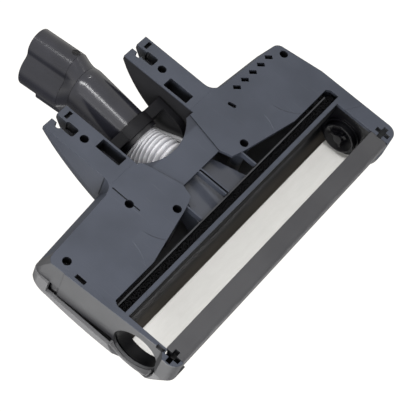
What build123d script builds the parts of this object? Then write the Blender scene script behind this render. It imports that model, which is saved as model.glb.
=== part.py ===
from build123d import *
import math
import os

os.makedirs("parts", exist_ok=True)

# Frame: millimetres, +Z up, sole on z = 0, front at -Y, neck at +Y, roller opening at +X.
# Lengths along Y are measured from the scraper strip and moved by STRIP_Y when a part is written.
STRIP_Y = -63.6

# Clearances
SEAT_GAP = 0.2
RUN_GAP = 0.06
MOVE_GAP = 0.5
THREAD_GAP = 0.05

# Head plan
WALL = 2.6
SOLE_T = 2.6
PART_Z = 22.2
FRONT_Y = -51.5
LEFT_X = -128.2
LEFT_TAPER_X = -122.5
LEFT_TAPER_Y = 18.0
END_WALL_X = 122.5
END_WALL_T = 2.2
RIM_X = 128.2
END_SLOPE_L = 8.0
END_SLOPE_H = 8.0
CORNER_BLOCK_Y = -36.0
CORNER_STEP = 0.5
CORNER_SLOPE = 4.0
REAR_END_Y = 55.3
REAR_MID_Y = 60.6
REAR_FLARE = 8.0
END_FLARE = 4.7
FRONT_CORNER_R = 8.0
REAR_CORNER_R = 6.0

# Roller chamber
ROLLER_Y = -20.4
ROLLER_Z = 23.8
CHAMBER_R = 18.2
LINER_T = 2.0
WINDOW_T = 2.4
COVER_R = 21.6
WINDOW_REAR_DEG = 64.0
WINDOW_FRONT_DEG = 187.0
APERTURE_FRONT_DEG = 215.0
LINER_TOP_DEG = 63.0
LINER_LOW_DEG = -40.0
CHAMBER_LEFT_X = -114.0
WINDOW_END_X = 110.0
MOUTH_REAR_Y = -6.2
END_OPENING_R = 16.7
END_RING_R = 18.8
END_WALL_TOP = 30.5
DRIVE_WALL_T = 2.5
DRIVE_WALL_W = 34.4

# Scraper strip and suction recess
STRIP_W = 6.0
STRIP_H = 8.2
STRIP_HALF = 119.4
STRIP_LIFT = 0.4
STRIP_EDGE = 1.6
HOLDER_T = 1.1
RECESS_TIP_X = 117.5
RECESS_TIP_Y = 6.6
RECESS_SLIT_X = 79.0
RECESS_STEP_X = 9.0
RECESS_STEP_Y = 3.0
RECESS_LOBE_X = 23.0
RECESS_LOBE_Y = 19.8
RECESS_BACK_Y = 29.0
RECESS_BACK_HALF = 20.0
FIN_T = 1.2
FIN_H = 5.0
FIN_LIFT = 0.4
FIN_BITE = 1.0
FIN_SIDE_X = 30.5
FIN_SIDE_BACK = 17.8
FIN_PAIR_X = 2.0
FIN_PAIR_GAP = 2.6

# Suction duct, hose and pivot
PIVOT_Y = 72.0
PIVOT_Z = 27.0
DUCT_T = 2.0
DUCT_MOUTH_W = 54.0
DUCT_MOUTH_H = 15.0
DUCT_END_Z = 21.0
STUB_BORE_R = 10.7
DUCT_START_Y = 0.4
DUCT_ROUND_Y = 43.0
DUCT_END_Y = 50.0
HOSE_R = 15.2
HOSE_T = 1.6
HOSE_RIDGE = 1.9
HOSE_RIDGES = 10
HOSE_SPARE = 5.0
HOSE_END_GAP = 0.4
COLLAR_T = 2.2
STUB_COLLAR_L = 5.0
CUFF_L = 3.0
CUFF_STEP = 1.5

# Arms
ARM_IN_X = 30.4
ARM_OUT_X = 54.4
ARM_END_Y = 123.2
ARM_TOP_Z = 36.0
ARM_MID_Y = 99.0
ARM_MID_Z = 26.5
ARM_TIP_Z = 10.0
ARM_TIP_L = 4.5
ARM_NOSE_Z = 4.0
ARM_ROOT_L = 12.0
ARM_SPLIT_Y = 63.0
HOOK_W = 9.0
HOOK_GAP = 5.0
HOOK_REACH = 14.0
HOOK_Y = 116.6
HOOK_H = 7.0
NOTCH_IN = 0.8
AXLE_R = 2.4
CREASE_ROOT_Y = 60.0
CREASE_ROOT_Z = 32.0
CREASE_TIP_Z = 3.0
CREASE_LEAN = 18.0
CORNER_SWEEP_R = 9.0
CORNER_ROOT = 3.0
POCKET_Y = 109.3
POCKET_L = 8.0
POCKET_W = 10.0
POCKET_R = 1.8
POCKET_DEPTH = 9.0
ARM_HOLE_X = 41.6
ARM_HOLE_Y = 97.8
ARM_HOLE_DEPTH = 10.0
AXLE_SLOT_Y = 117.4
AXLE_SLOT_W = 6.4
AXLE_SLOT_L = 2.8
AXLE_SLOT_IN = 5.2
AXLE_SLOT_DEPTH = 4.0
LONG_SLOT_X = 36.3
LONG_SLOT_Y = 78.8
LONG_SLOT_W = 8.6
LONG_SLOT_L = 20.4
LONG_SLOT_DEPTH = 12.0
LONG_SLOT_R = 0.8
GAP_EDGE_X = 3.0
GAP_EDGE_Y = 50.5
GAP_EDGE_R = 39.0
GAP_CURVE_L = 16.0
GAP_UNDERCUT = 5.0

# Middle panel of the sole, its creases and small slots
PANEL_DEPTH = 0.9
PANEL_REAR_HALF = 28.4
PANEL_REAR_Y = 66.3
PANEL_FRONT_HALF = 19.6
PANEL_LAP = 1.0
SEAM_X = 56.4
SEAM_FROM_Y = 37.0
SEAM_W = 1.0
SEAM_DEPTH = 0.8
LATCH_X = 122.2
LATCH_Y = 31.6
LATCH_W = 3.2
LATCH_L = 8.0
CLIP_SLOT_X = -55.6
CLIP_SLOT_Y = 45.5
CLIP_SLOT_W = 3.0
CLIP_SLOT_L = 6.4
CLIP_SLOT_TURN = 78.0

# Screws and wells
WELL_BORE_R = 3.1
WELL_WALL = 1.5
WELL_DEPTH = 9.0
SCREW_HEAD_R = 2.8
SCREW_HEAD_H = 2.0
SCREW_R = 1.4
SCREW_BITE = 7.0
REAR_SCREW_X = 118.6
REAR_SCREW_Y = 46.2
LOBE_SCREW_X = 37.2
LOBE_SCREW_Y = 20.5
SIDE_SCREW_X = 57.7
SIDE_SCREW_Y = 45.1
CROSS_RIGHT_X = 121.4
CROSS_LEFT_X = -118.8
CROSS_Y = -43.7
CROSS_L = 11.0
CROSS_W = 3.6
CROSS_DEPTH = 6.0
END_SLOT_X = 122.3
END_SLOT_Y = -34.7
END_SLOT_STEP = 4.1
END_SLOT_W = 2.4
END_SLOT_L = 6.0
END_SLOT_DEPTH = 3.0

# Top cover
TOP_FRONT_Y = -22.0
TOP_FRONT_Z = 45.4
TOP_MID_Y = 18.0
TOP_MID_Z = 47.8
TOP_REAR_Y = 52.0
TOP_REAR_Z = 45.2
TOP_BACK_Y = 66.0
TOP_BACK_Z = 36.5
TOP_EDGE_Y = 70.0
BROW_Y = -43.5
BROW_Z = 38.5
NOTCH_Y = 53.0
RIM_LOW_Z = 33.0

# Front bar
BAR_NOSE_Z = 9.0
BAR_TOP_Z = 20.8
BAR_LIP = 1.6
BAR_LIP_Z = 4.0
BAR_EDGE_R = 2.4
BAR_LEDGE = 1.0

# Power lead beside the hose
LEAD_R = 1.6
LEAD_X = -20.4
LEAD_Z = 21.0
LEAD_BOW = 2.0
LEAD_BEND_R = 20.0

# Vents
VENT_COUNT = 5
VENT_FIRST_X = -108.0
VENT_PITCH = 9.5
VENT_Y = 52.2
VENT_L = 5.6
VENT_W = 3.2
VENT_SKEW = -46.0

# Drive
HUB_R = 12.6
HUB_LIP = 1.5
HUB_DEPTH = 5.0
HUB_SHAFT_R = 4.0
HUB_BOSS_R = 3.6
HUB_DOGS = 3
HUB_DOG_L = 5.2
HUB_DOG_W = 2.0
HUB_DOG_OUT = 1.6
HUB_RIM_T = 1.2
HUB_FLOOR_T = 0.9
HUB_BOSS_STAND = 1.0
BEARING_R = 8.0
HUB_PULLEY_R = 11.0
MOTOR_PULLEY_R = 6.0
MOTOR_Y = 32.8
MOTOR_Z = 20.0
MOTOR_R = 14.0
MOTOR_FRONT_X = -104.0
MOTOR_REAR_X = -48.0
MOTOR_BOSS_R = 5.0
MOTOR_SHAFT_R = 2.0
MOTOR_BOSS_L = 3.0
MOTOR_BORE_L = 10.0
ROTOR_SEAT_L = 9.0
CRADLE_TOP_Z = 14.0
CRADLE_W = 21.0
CRADLE_IN = 8.0
BELT_X = -119.2
BELT_W = 4.4
BELT_T = 1.2
BELT_GAP = 0.3
BELT_SIDE_GAP = 0.4

# Pivot yoke and swivel
SWIVEL_DROP = 9.0
YOKE_OUT_X = 29.2
YOKE_CHEEK_T = 5.0
YOKE_STEP = 1.0
YOKE_EDGE_R = 3.0
YOKE_PIVOT_R = 14.5
SLEEVE_START = 9.0
SLEEVE_L = 9.0
SLEEVE_R = 19.0
SPIGOT_R = 15.6
PIN_R = 4.5
PIN_SEAT = 3.4
BUSH_T = 1.5
BUSH_L = 5.6

# Neck
ELBOW_R = 16.6
ELBOW_BORE_R = 13.4
ELBOW_L = 57.0
TUBE_RISE = 9.0
TUBE_L = 34.0
TUBE_R = 17.0
TUBE_X = -2.3
TUBE_LIFT = 12.0
TUBE_BORE_R = 15.0
SOCKET_L = 30.0
KEEL_R = 11.5
KEEL_X = -6.0
KEEL_DROP = 6.4
VALLEY_R = 7.0
COLLAR_FROM = 2.0
COLLAR_L = 12.0
BUTTON_L = 14.0
BUTTON_W = 15.0
BUTTON_SUNK = 3.0
BUTTON_STAND = 2.6
BUTTON_TRAVEL = 2.0
BUTTON_AT = 26.0
PAD_W = 21.0
PAD_L = 22.0
PAD_H = 3.6
PAD_R = 3.0
BUTTON_EDGE_R = 1.2
PIN_COUNT = 3
CONTACT_R = 1.0
CONTACT_PITCH = 3.8
CONTACT_L = 9.0
BLOCK_W = 13.0
BLOCK_H = 4.6
BLOCK_L = 8.0
BLOCK_DROP = 11.2
NECK_SCREW_DEG = 205.0
NECK_SCREW_L = 3.2
SCREW_SEAT_L = 4.0


# Shared helpers
def along_x(face, x_from, x_to):
    return extrude(Plane.YZ.offset(x_from) * face, x_to - x_from)


def along_z(face, z_from, z_to):
    return extrude(Plane.XY.offset(z_from) * face, z_to - z_from)


def x_rod(radius, x_from, x_to, y, z):
    return along_x(Pos(y, z) * Circle(radius), x_from, x_to)


def z_rod(radius, z_from, z_to, x, y):
    return along_z(Pos(x, y) * Circle(radius), z_from, z_to)


def ring_point(radius, degrees):
    angle = math.radians(degrees)
    return (ROLLER_Y + radius * math.cos(angle), ROLLER_Z + radius * math.sin(angle))


def ring_sector(r_in, r_out, deg_from, deg_to):
    deg_mid = (deg_from + deg_to) / 2
    outer = ThreePointArc(ring_point(r_out, deg_from), ring_point(r_out, deg_mid), ring_point(r_out, deg_to))
    inner = ThreePointArc(ring_point(r_in, deg_to), ring_point(r_in, deg_mid), ring_point(r_in, deg_from))
    end_a = Line(ring_point(r_out, deg_to), ring_point(r_in, deg_to))
    end_b = Line(ring_point(r_in, deg_from), ring_point(r_out, deg_from))
    return make_face([outer, end_a, inner, end_b])


def save(name, shape):
    solids = [Pos(0, STRIP_Y, 0) * solid for solid in shape.solids()]
    placed = solids[0] if len(solids) == 1 else Compound(children=solids)
    placed.label = name
    export_step(placed, "parts/" + name + ".step")


# Swivel axis: leaves the pivot to the rear and drops by SWIVEL_DROP
swivel = Plane(
    origin=(0, PIVOT_Y, PIVOT_Z),
    x_dir=(1, 0, 0),
    z_dir=(0, math.cos(math.radians(SWIVEL_DROP)), -math.sin(math.radians(SWIVEL_DROP))),
)
bend = swivel.from_local_coords(Vector(0, 0, ELBOW_L))
tube = Plane(
    origin=bend,
    x_dir=(1, 0, 0),
    z_dir=(0, math.cos(math.radians(TUBE_RISE)), math.sin(math.radians(TUBE_RISE))),
)


# Plan outlines of the lower and upper housing
def plan(right_x, rear_extra, inset):
    corner_x = RIM_X - CORNER_STEP
    rear_x = min(right_x + END_FLARE, RIM_X)
    points = [
        (LEFT_X, FRONT_Y),
        (corner_x, FRONT_Y),
        (corner_x, CORNER_BLOCK_Y - CORNER_SLOPE),
        (right_x, CORNER_BLOCK_Y),
        (rear_x, REAR_END_Y + rear_extra),
        (ARM_OUT_X, REAR_MID_Y + rear_extra),
        (-ARM_OUT_X, REAR_MID_Y + rear_extra),
        (LEFT_TAPER_X, REAR_END_Y + rear_extra),
        (LEFT_X, LEFT_TAPER_Y),
    ]
    face = make_face(Polyline(*points, close=True))
    front = face.vertices().group_by(Axis.Y)[0]
    face = fillet(front, FRONT_CORNER_R)
    rear = [v for v in face.vertices() if v.Y > REAR_END_Y + rear_extra - 1 and abs(v.X) > ARM_OUT_X + 5]
    face = fillet(rear, REAR_CORNER_R)
    if inset > 0:
        face = offset(face, -inset, kind=Kind.INTERSECTION)
    return face


def arm_profile(grow):
    start_y = REAR_MID_Y - ARM_ROOT_L
    top = Spline(
        (start_y, ARM_TOP_Z + grow),
        (ARM_MID_Y, ARM_MID_Z + grow),
        (ARM_END_Y - ARM_TIP_L, ARM_TIP_Z + grow),
    )
    nose = Line(top @ 1, (ARM_END_Y, ARM_NOSE_Z))
    down = Line(nose @ 1, (ARM_END_Y, 0))
    base = Line(down @ 1, (start_y, 0))
    root = Line(base @ 1, top @ 0)
    return make_face([top, nose, down, base, root])


# Lower housing: sole tray, end wall, arms
flare_deg = math.degrees(math.atan(REAR_FLARE / PART_Z))
sole_plan = plan(END_WALL_X, 0, 0)
sole_block = extrude(sole_plan, PART_Z, taper=-flare_deg)
sole_block = sole_block & along_z(plan(END_WALL_X, REAR_FLARE, 0), 0, PART_Z)
tray = extrude(Plane.XY.offset(SOLE_T) * plan(END_WALL_X, 0, WALL), PART_Z, taper=-flare_deg)
tray = tray & along_z(plan(END_WALL_X, REAR_FLARE, WALL), SOLE_T, PART_Z + 1)
lower = sole_block - tray

# End wall at the roller opening: follows the slanting edge of the sole and rises round the hole
end_lean = math.atan(END_FLARE / (REAR_END_Y - CORNER_BLOCK_Y))
end_plane = Plane(
    origin=(END_WALL_X, CORNER_BLOCK_Y, 0),
    x_dir=(math.sin(end_lean), math.cos(end_lean), 0),
    z_dir=(math.cos(end_lean), -math.sin(end_lean), 0),
)
wall_rear_y = REAR_SCREW_Y - WELL_BORE_R - WELL_WALL - SEAT_GAP
wall_l = (wall_rear_y - CORNER_BLOCK_Y) / math.cos(end_lean)
hole_s = (ROLLER_Y - CORNER_BLOCK_Y) / math.cos(end_lean)
end_face = Pos(wall_l / 2 + SEAT_GAP, END_WALL_TOP / 2) * Rectangle(wall_l, END_WALL_TOP)
end_face = end_face + Pos(hole_s, ROLLER_Z) * Circle(END_RING_R)
end_face = end_face - Pos(hole_s, -END_RING_R) * Rectangle(4 * END_RING_R, 2 * END_RING_R)
lower = lower + extrude(end_plane * end_face, -END_WALL_T)
lower = lower - x_rod(END_OPENING_R, END_WALL_X - 2 * WALL, RIM_X + 1, ROLLER_Y, ROLLER_Z)

# Arms: mouldings on both sides of the neck, with a leaning facet along the outer edge
crease_run = ARM_END_Y - CREASE_ROOT_Y
crease_fall = CREASE_ROOT_Z - CREASE_TIP_Z
crease_dir = Vector(0, crease_run, -crease_fall).normalized()
lean = math.radians(CREASE_LEAN)
for side in (1, -1):
    x_low = min(side * ARM_IN_X, side * ARM_OUT_X)
    x_high = max(side * ARM_IN_X, side * ARM_OUT_X)
    arm = along_x(arm_profile(0), x_low, x_high)
    upright = crease_dir.cross(Vector(-1, 0, 0))
    outward = Vector(side * math.cos(lean), 0, 0) + upright * math.sin(lean)
    facet = Plane(origin=(side * ARM_OUT_X, CREASE_ROOT_Y, CREASE_ROOT_Z), x_dir=crease_dir, z_dir=outward)
    arm = arm - extrude(facet * Rectangle(4 * crease_run, 2 * ARM_TOP_Z), ARM_TOP_Z)
    lower = lower + arm
    sweep_at = (side * (ARM_OUT_X + CORNER_SWEEP_R), REAR_MID_Y + CORNER_SWEEP_R)
    sweep_off = (CORNER_SWEEP_R - CORNER_ROOT) / 2
    sweep_mid = (side * (ARM_OUT_X + sweep_off), REAR_MID_Y + sweep_off)
    sweep_face = Pos(*sweep_mid) * Rectangle(CORNER_SWEEP_R + CORNER_ROOT, CORNER_SWEEP_R + CORNER_ROOT)
    sweep_face = sweep_face - Pos(*sweep_at) * Circle(CORNER_SWEEP_R)
    lower = lower + along_z(sweep_face, 0, PART_Z)

# Wheel fork: a gap between two prongs, a pocket behind it, and a notch for the axle in the +X prong
for side in (1, -1):
    x_high = max(side * ARM_IN_X, side * ARM_OUT_X)
    hook_x = x_high - HOOK_W
    fork_x = hook_x - HOOK_GAP / 2
    fork = Pos(fork_x, ARM_END_Y) * Rectangle(HOOK_GAP, 2 * HOOK_REACH)
    lower = lower - along_z(fork, -1, ARM_MID_Z)
    lower = lower - z_rod(AXLE_R, -1, HOOK_H, hook_x + NOTCH_IN, HOOK_Y)
    pocket = Pos(fork_x, POCKET_Y) * RectangleRounded(POCKET_L, POCKET_W, POCKET_R)
    lower = lower - along_z(pocket, -1, POCKET_DEPTH)
    axle_slot = Pos(hook_x - HOOK_GAP - AXLE_SLOT_IN, AXLE_SLOT_Y) * Rectangle(AXLE_SLOT_W, AXLE_SLOT_L)
    lower = lower - along_z(axle_slot, -1, AXLE_SLOT_DEPTH)
    long_slot = Pos(side * LONG_SLOT_X, LONG_SLOT_Y) * RectangleRounded(LONG_SLOT_W, LONG_SLOT_L, LONG_SLOT_R)
    lower = lower - along_z(long_slot, -1, LONG_SLOT_DEPTH)

# Open gap between the arms with a curved front edge
gap_box = Pos(0, GAP_EDGE_Y + GAP_EDGE_R) * Rectangle(2 * ARM_IN_X, 2 * GAP_EDGE_R)
gap_curve = Pos(GAP_EDGE_X, GAP_EDGE_Y + GAP_EDGE_R) * Circle(GAP_EDGE_R)
gap_rear = Pos(0, ARM_END_Y) * Rectangle(4 * ARM_IN_X, 2 * (ARM_END_Y - GAP_EDGE_Y - GAP_CURVE_L))
gap_face = gap_box & (gap_curve + gap_rear)
lower = lower - along_z(gap_face, -1, ARM_TOP_Z + 10)
pivot_room = Pos(0, GAP_EDGE_Y + GAP_EDGE_R - GAP_UNDERCUT) * Rectangle(2 * ARM_IN_X, 2 * GAP_EDGE_R)
lower = lower - along_z(pivot_room, SOLE_T, ARM_TOP_Z + 10)

# Screw wells
screw_spots = [
    (REAR_SCREW_X, REAR_SCREW_Y),
    (-REAR_SCREW_X, REAR_SCREW_Y),
    (LOBE_SCREW_X, LOBE_SCREW_Y),
    (-LOBE_SCREW_X, LOBE_SCREW_Y),
    (SIDE_SCREW_X, SIDE_SCREW_Y),
]
for x, y in screw_spots:
    lower = lower + (z_rod(WELL_BORE_R + WELL_WALL, 0, PART_Z, x, y) & sole_block)
for x, y in screw_spots:
    lower = lower - z_rod(WELL_BORE_R, -1, WELL_DEPTH, x, y)
    lower = lower - z_rod(SCREW_R + SEAT_GAP, WELL_DEPTH - 1, PART_Z + 1, x, y)
for side in (1, -1):
    lower = lower - z_rod(WELL_BORE_R, -1, ARM_HOLE_DEPTH, side * ARM_HOLE_X, ARM_HOLE_Y)

# Mouth of the roller chamber and seat of the front bar
mouth = Pos((CHAMBER_LEFT_X + END_WALL_X - WALL) / 2, (FRONT_Y + MOUTH_REAR_Y) / 2 - 1) * Rectangle(
    END_WALL_X - WALL - CHAMBER_LEFT_X, MOUTH_REAR_Y - FRONT_Y + 2
)
lower = lower - along_z(mouth, -1, PART_Z + 1)

# Suction recess behind the strip, open through the sole
strip_back = STRIP_W / 2 + SEAT_GAP
recess = make_face(
    Polyline(
        (-STRIP_HALF - SEAT_GAP, -strip_back),
        (STRIP_HALF + SEAT_GAP, -strip_back),
        (STRIP_HALF + SEAT_GAP, strip_back),
        (RECESS_TIP_X, RECESS_TIP_Y),
        (RECESS_SLIT_X, RECESS_TIP_Y),
        (RECESS_LOBE_X + RECESS_STEP_X, RECESS_LOBE_Y - RECESS_STEP_Y),
        (RECESS_LOBE_X, RECESS_LOBE_Y),
        (RECESS_BACK_HALF, RECESS_BACK_Y),
        (-RECESS_BACK_HALF, RECESS_BACK_Y),
        (-RECESS_LOBE_X, RECESS_LOBE_Y),
        (-RECESS_LOBE_X - RECESS_STEP_X, RECESS_LOBE_Y - RECESS_STEP_Y),
        (-RECESS_SLIT_X, RECESS_TIP_Y),
        (-RECESS_TIP_X, RECESS_TIP_Y),
        (-STRIP_HALF - SEAT_GAP, strip_back),
        close=True,
    )
)
lower = lower - along_z(recess, -1, SOLE_T)
fin_front = strip_back + HOLDER_T + SEAT_GAP
for x, back in (
    (FIN_SIDE_X, FIN_SIDE_BACK),
    (-FIN_SIDE_X, FIN_SIDE_BACK),
    (FIN_PAIR_X - FIN_PAIR_GAP / 2, RECESS_BACK_Y + FIN_BITE),
    (FIN_PAIR_X + FIN_PAIR_GAP / 2, RECESS_BACK_Y + FIN_BITE),
):
    fin = Pos(x, (fin_front + back) / 2) * Rectangle(FIN_T, back - fin_front)
    lower = lower + along_z(fin, FIN_LIFT, FIN_H)

# Sunk middle panel, the seam beside the side screw, the latch slot and the clip slot
panel = make_face(
    Polyline(
        (-PANEL_FRONT_HALF, RECESS_BACK_Y - PANEL_LAP),
        (PANEL_FRONT_HALF, RECESS_BACK_Y - PANEL_LAP),
        (PANEL_REAR_HALF, PANEL_REAR_Y),
        (-PANEL_REAR_HALF, PANEL_REAR_Y),
        close=True,
    )
)
lower = lower - along_z(panel, -1, PANEL_DEPTH)
seam = Pos(SEAM_X, (SEAM_FROM_Y + REAR_MID_Y) / 2) * Rectangle(SEAM_W, REAR_MID_Y - SEAM_FROM_Y)
lower = lower - along_z(seam, -1, SEAM_DEPTH)
lower = lower - along_z(Pos(LATCH_X, LATCH_Y) * Rectangle(LATCH_W, LATCH_L), -1, SOLE_T + 1)
clip_slot = Pos(CLIP_SLOT_X, CLIP_SLOT_Y) * Rot(0, 0, CLIP_SLOT_TURN) * SlotOverall(CLIP_SLOT_L, CLIP_SLOT_W)
lower = lower - along_z(clip_slot, -1, SOLE_T + 1)

# Cross recesses in the front corners
cross = Rectangle(CROSS_L, CROSS_W) + Rectangle(CROSS_W, CROSS_L)
crosses = []
for x in (CROSS_RIGHT_X, CROSS_LEFT_X):
    crosses.append(along_z(Pos(x, CROSS_Y) * cross, -1, CROSS_DEPTH))
for recess_cut in crosses:
    lower = lower - recess_cut

# Pair of short slots in the foot of the end wall, beside the cross
for i in range(2):
    end_slot = Pos(END_SLOT_X + i * END_SLOT_STEP, END_SLOT_Y) * Rectangle(END_SLOT_W, END_SLOT_L)
    lower = lower - along_z(end_slot, -1, END_SLOT_DEPTH)

# Vent slots beside the motor
for i in range(VENT_COUNT):
    vent = Pos(VENT_FIRST_X + i * VENT_PITCH, VENT_Y) * Rot(0, 0, VENT_SKEW) * Rectangle(VENT_W, VENT_L)
    lower = lower - along_z(vent, -1, SOLE_T + 1)

# Bores for the pivot bushes
bush_r = PIN_R + RUN_GAP + BUSH_T
for side in (1, -1):
    lower = lower - x_rod(
        bush_r + THREAD_GAP, side * (ARM_IN_X - 1), side * (ARM_IN_X + BUSH_L + SEAT_GAP), PIVOT_Y, PIVOT_Z
    )

# The arms, and the end wall with its front corner, are nodes of their own
zone_t = END_WALL_T + WALL / 2
zone_front = FRONT_Y - CORNER_BLOCK_Y - WALL
zone_rear = wall_l + SEAT_GAP
zone = Pos((zone_front + zone_rear) / 2, 0) * Rectangle(zone_rear - zone_front, 4 * TOP_MID_Z)
wall_zone = extrude(end_plane.offset(-zone_t) * zone, zone_t + RIM_X - END_WALL_X + WALL)
save("end_wall", lower & wall_zone)
lower = lower - wall_zone
for side, name in ((1, "arm_right"), (-1, "arm_left")):
    arm_mid = side * (ARM_IN_X + ARM_OUT_X) / 2
    arm_zone = Pos(arm_mid, ARM_SPLIT_Y + ARM_END_Y / 2) * Rectangle(ARM_OUT_X - ARM_IN_X, ARM_END_Y)
    arm_zone = along_z(arm_zone, -1, 2 * TOP_MID_Z)
    save(name, lower & arm_zone)
    lower = lower - arm_zone
save("lower_housing", lower)


# Upper housing: domed cover with the window aperture, the end-cap recess and the neck notch
def cover_profile(inset):
    lean = inset * math.sqrt(0.5)
    front = ThreePointArc(
        (FRONT_Y + inset, PART_Z), (BROW_Y + lean, BROW_Z - lean), (TOP_FRONT_Y, TOP_FRONT_Z - inset)
    )
    top_end = (TOP_REAR_Y - inset / 2, TOP_REAR_Z - inset)
    top = ThreePointArc(front @ 1, (TOP_MID_Y, TOP_MID_Z - inset), top_end)
    rear = ThreePointArc(top @ 1, (TOP_BACK_Y - lean, TOP_BACK_Z - lean), (TOP_EDGE_Y - inset, PART_Z))
    rear_leg = Line(rear @ 1, (TOP_EDGE_Y - inset, -PART_Z))
    base = Line(rear_leg @ 1, (FRONT_Y + inset, -PART_Z))
    front_leg = Line(base @ 1, front @ 0)
    return make_face([front, top, rear, rear_leg, base, front_leg])


def cover_shape(inset, low_z):
    slope_x = RIM_X - END_SLOPE_L
    body = along_x(cover_profile(inset), LEFT_X, slope_x)
    inner = Plane.YZ.offset(slope_x) * cover_profile(inset)
    outer = Plane.YZ.offset(RIM_X) * cover_profile(inset + END_SLOPE_H)
    slope = loft([inner, outer], ruled=True)
    return (body + slope) & along_z(plan(RIM_X, REAR_FLARE, inset), low_z, 2 * TOP_MID_Z)


upper_block = cover_shape(0, PART_Z)
upper = upper_block - cover_shape(WALL, PART_Z - 1)
for x, y in screw_spots:
    post = z_rod(WELL_BORE_R + WELL_WALL, PART_Z, TOP_MID_Z, x, y) & upper_block
    upper = upper + post
for x, y in screw_spots:
    upper = upper - z_rod(SCREW_R + THREAD_GAP, PART_Z - 1, PART_Z + SCREW_BITE, x, y)
aperture = ring_sector(CHAMBER_R - LINER_T, 2 * COVER_R, WINDOW_REAR_DEG, APERTURE_FRONT_DEG)
upper = upper - along_x(aperture, CHAMBER_LEFT_X, WINDOW_END_X)
hoop_room_r = CHAMBER_R + LINER_T + SEAT_GAP
upper = upper - x_rod(hoop_room_r, WINDOW_END_X - 1, END_WALL_X + WALL, ROLLER_Y, ROLLER_Z)
recess_y = (CORNER_BLOCK_Y + REAR_END_Y - REAR_CORNER_R) / 2
recess_l = REAR_END_Y - REAR_CORNER_R - CORNER_BLOCK_Y
end_recess = Pos(recess_y, 0) * Rectangle(recess_l, 2 * RIM_LOW_Z)
end_recess = end_recess + Pos(ROLLER_Y, ROLLER_Z) * Circle(END_RING_R)
upper = upper - along_x(end_recess, END_WALL_X + SEAT_GAP, RIM_X + 1)
for side in (1, -1):
    arm_room = along_x(arm_profile(SEAT_GAP), side * (ARM_IN_X - 1), side * (ARM_OUT_X + SEAT_GAP))
    upper = upper - arm_room
notch = Pos(0, NOTCH_Y + ARM_OUT_X) * Rectangle(2 * ARM_IN_X, 2 * ARM_OUT_X)
upper = upper - along_z(notch, 0, 2 * TOP_MID_Z)
save("upper_housing", upper)

# Chamber liner: black wall behind the roller, open to the suction duct
liner = ring_sector(CHAMBER_R, CHAMBER_R + LINER_T, LINER_LOW_DEG, LINER_TOP_DEG)
skirt_y, skirt_z = ring_point(CHAMBER_R, LINER_LOW_DEG)
skirt_h = skirt_z + 1 - SOLE_T
skirt = Pos(skirt_y + LINER_T / 2, SOLE_T + skirt_h / 2) * Rectangle(LINER_T, skirt_h)
liner_from = CHAMBER_LEFT_X + SEAT_GAP
liner_to = END_WALL_X - WALL - SEAT_GAP
liner_solid = along_x(liner + skirt, liner_from, liner_to)
hoop = ring_sector(CHAMBER_R, CHAMBER_R + LINER_T, LINER_LOW_DEG, WINDOW_FRONT_DEG)
liner_solid = liner_solid + along_x(hoop, WINDOW_END_X + SEAT_GAP, liner_to)
mouth_cut = Pos(ROLLER_Y + CHAMBER_R, ROLLER_Z) * Rectangle(CHAMBER_R, DUCT_MOUTH_H)
liner_solid = liner_solid - along_x(mouth_cut, -DUCT_MOUTH_W / 2, DUCT_MOUTH_W / 2)
save("chamber_liner", liner_solid)

# Clear window over the front of the chamber
window_gap_deg = math.degrees(SEAT_GAP / CHAMBER_R)
window = ring_sector(CHAMBER_R, CHAMBER_R + WINDOW_T, WINDOW_REAR_DEG + window_gap_deg, WINDOW_FRONT_DEG)
save("clear_window", along_x(window, liner_from, WINDOW_END_X))

# Front bar: rounded nose with a sloping back that carries the window
bar_back = ROLLER_Y - CHAMBER_R - SEAT_GAP
bar_face = make_face(
    Polyline(
        (bar_back + BAR_LIP, 0),
        (FRONT_Y, 0),
        (FRONT_Y, BAR_NOSE_Z),
        (bar_back - WINDOW_T - BAR_LEDGE, BAR_TOP_Z),
        (bar_back, BAR_TOP_Z),
        (bar_back, BAR_LIP_Z),
        close=True,
    )
)
bar_nose = bar_face.vertices().group_by(Axis.X)[0]
bar_face = fillet(bar_nose, BAR_EDGE_R)
bar = along_x(bar_face, liner_from, liner_to)
for recess_cut in crosses:
    bar = bar - recess_cut
save("front_bar", bar)

# Scraper strip and its channel
strip_h_top = STRIP_LIFT + STRIP_H
strip = Pos(0, STRIP_LIFT + STRIP_H / 2) * Rectangle(STRIP_W, STRIP_H)
strip_face = chamfer(strip.vertices().group_by(Axis.Y)[0].sort_by(Axis.X)[-1], STRIP_EDGE)
save("scraper_strip", along_x(strip_face, -STRIP_HALF, STRIP_HALF))
channel_w = STRIP_W + 2 * SEAT_GAP
channel = Rectangle(channel_w + 2 * HOLDER_T, strip_h_top + SEAT_GAP + HOLDER_T - SOLE_T)
channel = Pos(0, (strip_h_top + SEAT_GAP + HOLDER_T + SOLE_T) / 2) * channel
channel = channel - Pos(0, strip_h_top / 2 + SEAT_GAP / 2) * Rectangle(channel_w, strip_h_top + SEAT_GAP)
save("strip_channel", along_x(channel, liner_from + SEAT_GAP, liner_to - SEAT_GAP))

# Suction duct: wide mouth at the chamber, four flat sides, round hose stub
def duct_plane(y, z):
    return Plane(origin=(0, y, z), x_dir=(1, 0, 0), z_dir=(0, 1, 0))


def duct_funnel(grow, end_y):
    square = 2 * (STUB_BORE_R + grow)
    wide = duct_plane(DUCT_START_Y, ROLLER_Z) * Rectangle(DUCT_MOUTH_W + 2 * grow, DUCT_MOUTH_H + 2 * grow)
    narrow = duct_plane(end_y, DUCT_END_Z) * Rectangle(square, square)
    return loft([wide, narrow], ruled=True)


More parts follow.
